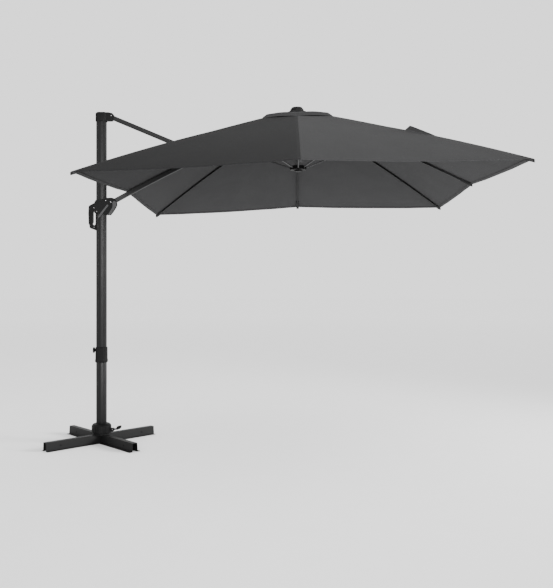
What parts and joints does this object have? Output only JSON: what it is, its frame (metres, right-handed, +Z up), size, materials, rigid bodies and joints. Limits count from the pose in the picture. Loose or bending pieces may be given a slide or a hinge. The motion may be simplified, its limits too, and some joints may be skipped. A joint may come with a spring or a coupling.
{
  "type": "cantilever parasol",
  "caption": "Offset patio parasol: cross base, turning side mast, folding arm linkage with lift handle, and a square ribbed cloth canopy with a vent cap.",
  "frame": {"origin": "mast axis at floor level, on the underside of the block at the middle of the cross base", "axes": "+Z up along the mast, +X from the mast towards the middle of the open canopy, +Y to the far side"},
  "size_m": [3.6038, 3.0116, 2.8635],
  "materials": {
    "base_metal": "satin powder coat",
    "mast_metal": "satin anthracite anodised",
    "arm_metal": "satin powder coat",
    "strut_metal": "plain satin",
    "black_plastic": "fine moulded texture",
    "grey_plastic": "fine moulded texture",
    "pin_steel": "zinc plated",
    "canopy_cloth": "woven polyester"
  },
  "bodies": {
    "base": {"cross_bar_long": "base_metal", "cross_bar_near": "base_metal", "cross_bar_far": "base_metal", "centre_block": "base_metal", "turntable_plate": "base_metal", "base_bolt_1": "pin_steel", "base_bolt_2": "pin_steel", "base_bolt_3": "pin_steel", "base_bolt_4": "pin_steel"},
    "mast": {"hub_housing": "black_plastic", "mast_foot_bush": "black_plastic", "lower_mast": "mast_metal", "upper_mast": "mast_metal", "mast_collar": "black_plastic", "mast_cap": "black_plastic", "stay_pin": "pin_steel", "pedal_bracket": "black_plastic", "pedal_pin": "pin_steel"},
    "pedal": {"foot_pedal": "black_plastic"},
    "knob": {"collar_knob": "black_plastic"},
    "stay": {"stay_tube": "arm_metal", "stay_fork": "black_plastic", "elbow_pin": "pin_steel"},
    "arm": {"arm_tube": "arm_metal", "arm_lug": "black_plastic", "carriage_pin": "pin_steel", "crown_pin": "pin_steel", "canopy_panel_180": "canopy_cloth"},
    "carriage": {"carriage_sleeve": "black_plastic", "cheek_near": "black_plastic", "cheek_far": "black_plastic", "lift_handle": "black_plastic"},
    "lever": {"release_lever": "grey_plastic"},
    "crown": {"crown_hub": "black_plastic", "finial": "black_plastic"},
    "runner": {"runner": "black_plastic"},
    "rib_000": {"rib_000": "arm_metal", "canopy_panel_000": "canopy_cloth"},
    "strut_000": {"strut_000": "strut_metal"},
    "rib_045": {"rib_045": "arm_metal", "canopy_panel_045": "canopy_cloth"},
    "strut_045": {"strut_045": "strut_metal"},
    "rib_090": {"rib_090": "arm_metal", "canopy_panel_090": "canopy_cloth"},
    "strut_090": {"strut_090": "strut_metal"},
    "rib_135": {"rib_135": "arm_metal", "canopy_panel_135": "canopy_cloth"},
    "strut_135": {"strut_135": "strut_metal"},
    "rib_225": {"rib_225": "arm_metal", "canopy_panel_225": "canopy_cloth"},
    "strut_225": {"strut_225": "strut_metal"},
    "rib_270": {"rib_270": "arm_metal", "canopy_panel_270": "canopy_cloth"},
    "strut_270": {"strut_270": "strut_metal"},
    "rib_315": {"rib_315": "arm_metal", "canopy_panel_315": "canopy_cloth"},
    "strut_315": {"strut_315": "strut_metal"}
  },
  "joints": [
    {"name": "mast_turn", "type": "hinge", "parent": "base", "child": "mast", "pos_m": [0, 0, 0.08], "axis": [0, 0, 1], "continuous": true},
    {"name": "pedal_press", "type": "hinge", "parent": "mast", "child": "pedal", "pos_m": [0.098, 0, 0.11], "axis": [0, 1, 0], "range_deg": [0, 10], "stiffness_Nm_per_rad": 2, "springref_deg": -8.59},
    {"name": "knob_turn", "type": "hinge", "parent": "mast", "child": "knob", "pos_m": [-0.0495, 0, 0.79], "axis": [-1, 0, 0], "continuous": true},
    {"name": "stay_pivot", "type": "hinge", "parent": "mast", "child": "stay", "pos_m": [0.09, 0, 2.797], "axis": [0, 1, 0], "range_deg": [0, 50]},
    {"name": "arm_pivot", "type": "hinge", "parent": "stay", "child": "arm", "pos_m": [0.884, 0, 2.4265], "axis": [0, 1, 0], "range_deg": [-100, 0]},
    {"name": "carriage_pivot", "type": "hinge", "parent": "arm", "child": "carriage", "pos_m": [0.09, 0, 2.056], "axis": [0, 1, 0], "range_deg": [0, 50]},
    {"name": "lever_pull", "type": "hinge", "parent": "carriage", "child": "lever", "pos_m": [0.121, -0.05, 2.048], "axis": [0, -1, 0], "range_deg": [0, 22], "stiffness_Nm_per_rad": 2, "springref_deg": -8.59},
    {"name": "crown_pivot", "type": "hinge", "parent": "arm", "child": "crown", "pos_m": [1.678, 0, 2.797], "axis": [0, 1, 0], "range_deg": [0, 50], "deforming": ["canopy_panel_180"]},
    {"name": "rib_hinge_000", "type": "hinge", "parent": "crown", "child": "rib_000", "pos_m": [1.73846, 0, 2.77845], "axis": [0, 1, 0], "range_deg": [0, 59], "deforming": ["canopy_panel_000"]},
    {"name": "strut_hinge_000", "type": "hinge", "parent": "rib_000", "child": "strut_000", "pos_m": [2.31952, 0, 2.57695], "axis": [0, 1, 0], "range_deg": [-118, 0]},
    {"name": "rib_hinge_045", "type": "hinge", "parent": "crown", "child": "rib_045", "pos_m": [1.72089, 0.04243, 2.77802], "axis": [-0.7069, 0.7071, -0.017], "range_deg": [0, 59], "deforming": ["canopy_panel_045"]},
    {"name": "strut_hinge_045", "type": "hinge", "parent": "rib_045", "child": "strut_045", "pos_m": [2.13328, 0.44976, 2.57248], "axis": [-0.7069, 0.7071, -0.017], "range_deg": [-118, 0]},
    {"name": "rib_hinge_090", "type": "hinge", "parent": "crown", "child": "rib_090", "pos_m": [1.67848, 0.06, 2.77701], "axis": [-0.9997, 0, -0.024], "range_deg": [0, 59], "deforming": ["canopy_panel_090"]},
    {"name": "strut_hinge_090", "type": "hinge", "parent": "rib_090", "child": "strut_090", "pos_m": [1.68365, 0.63605, 2.56169], "axis": [-0.9997, 0, -0.024], "range_deg": [-118, 0]},
    {"name": "rib_hinge_135", "type": "hinge", "parent": "crown", "child": "rib_135", "pos_m": [1.63607, 0.04243, 2.77599], "axis": [-0.7069, -0.7071, -0.017], "range_deg": [0, 59], "deforming": ["canopy_panel_135"]},
    {"name": "strut_hinge_135", "type": "hinge", "parent": "rib_135", "child": "strut_135", "pos_m": [1.23402, 0.44976, 2.5509], "axis": [-0.7069, -0.7071, -0.017], "range_deg": [-118, 0]},
    {"name": "rib_hinge_225", "type": "hinge", "parent": "crown", "child": "rib_225", "pos_m": [1.63607, -0.04243, 2.77599], "axis": [0.7069, -0.7071, 0.017], "range_deg": [0, 59], "deforming": ["canopy_panel_225"]},
    {"name": "strut_hinge_225", "type": "hinge", "parent": "rib_225", "child": "strut_225", "pos_m": [1.23402, -0.44976, 2.5509], "axis": [0.7069, -0.7071, 0.017], "range_deg": [-118, 0]},
    {"name": "rib_hinge_270", "type": "hinge", "parent": "crown", "child": "rib_270", "pos_m": [1.67848, -0.06, 2.77701], "axis": [0.9997, 0, 0.024], "range_deg": [0, 59], "deforming": ["canopy_panel_270"]},
    {"name": "strut_hinge_270", "type": "hinge", "parent": "rib_270", "child": "strut_270", "pos_m": [1.68365, -0.63605, 2.56169], "axis": [0.9997, 0, 0.024], "range_deg": [-118, 0]},
    {"name": "rib_hinge_315", "type": "hinge", "parent": "crown", "child": "rib_315", "pos_m": [1.72089, -0.04243, 2.77802], "axis": [0.7069, 0.7071, 0.017], "range_deg": [0, 59], "deforming": ["canopy_panel_315"]},
    {"name": "strut_hinge_315", "type": "hinge", "parent": "rib_315", "child": "strut_315", "pos_m": [2.13328, -0.44976, 2.57248], "axis": [0.7069, 0.7071, 0.017], "range_deg": [-118, 0]},
    {"name": "runner_hinge", "type": "hinge", "parent": "strut_000", "child": "runner", "pos_m": [1.7488, 0, 2.34782], "axis": [0, 1, 0], "range_deg": [0, 59]}
  ],
  "couplings": [
    {"joint": "arm_pivot", "follows": "stay_pivot", "ratio": -2},
    {"joint": "carriage_pivot", "follows": "stay_pivot", "ratio": 1},
    {"joint": "crown_pivot", "follows": "stay_pivot", "ratio": 1},
    {"joint": "rib_hinge_000", "follows": "stay_pivot", "ratio": 1.18},
    {"joint": "strut_hinge_000", "follows": "stay_pivot", "ratio": -2.36},
    {"joint": "rib_hinge_045", "follows": "stay_pivot", "ratio": 1.18},
    {"joint": "strut_hinge_045", "follows": "stay_pivot", "ratio": -2.36},
    {"joint": "rib_hinge_090", "follows": "stay_pivot", "ratio": 1.18},
    {"joint": "strut_hinge_090", "follows": "stay_pivot", "ratio": -2.36},
    {"joint": "rib_hinge_135", "follows": "stay_pivot", "ratio": 1.18},
    {"joint": "strut_hinge_135", "follows": "stay_pivot", "ratio": -2.36},
    {"joint": "rib_hinge_225", "follows": "stay_pivot", "ratio": 1.18},
    {"joint": "strut_hinge_225", "follows": "stay_pivot", "ratio": -2.36},
    {"joint": "rib_hinge_270", "follows": "stay_pivot", "ratio": 1.18},
    {"joint": "strut_hinge_270", "follows": "stay_pivot", "ratio": -2.36},
    {"joint": "rib_hinge_315", "follows": "stay_pivot", "ratio": 1.18},
    {"joint": "strut_hinge_315", "follows": "stay_pivot", "ratio": -2.36},
    {"joint": "runner_hinge", "follows": "stay_pivot", "ratio": 1.18}
  ]
}
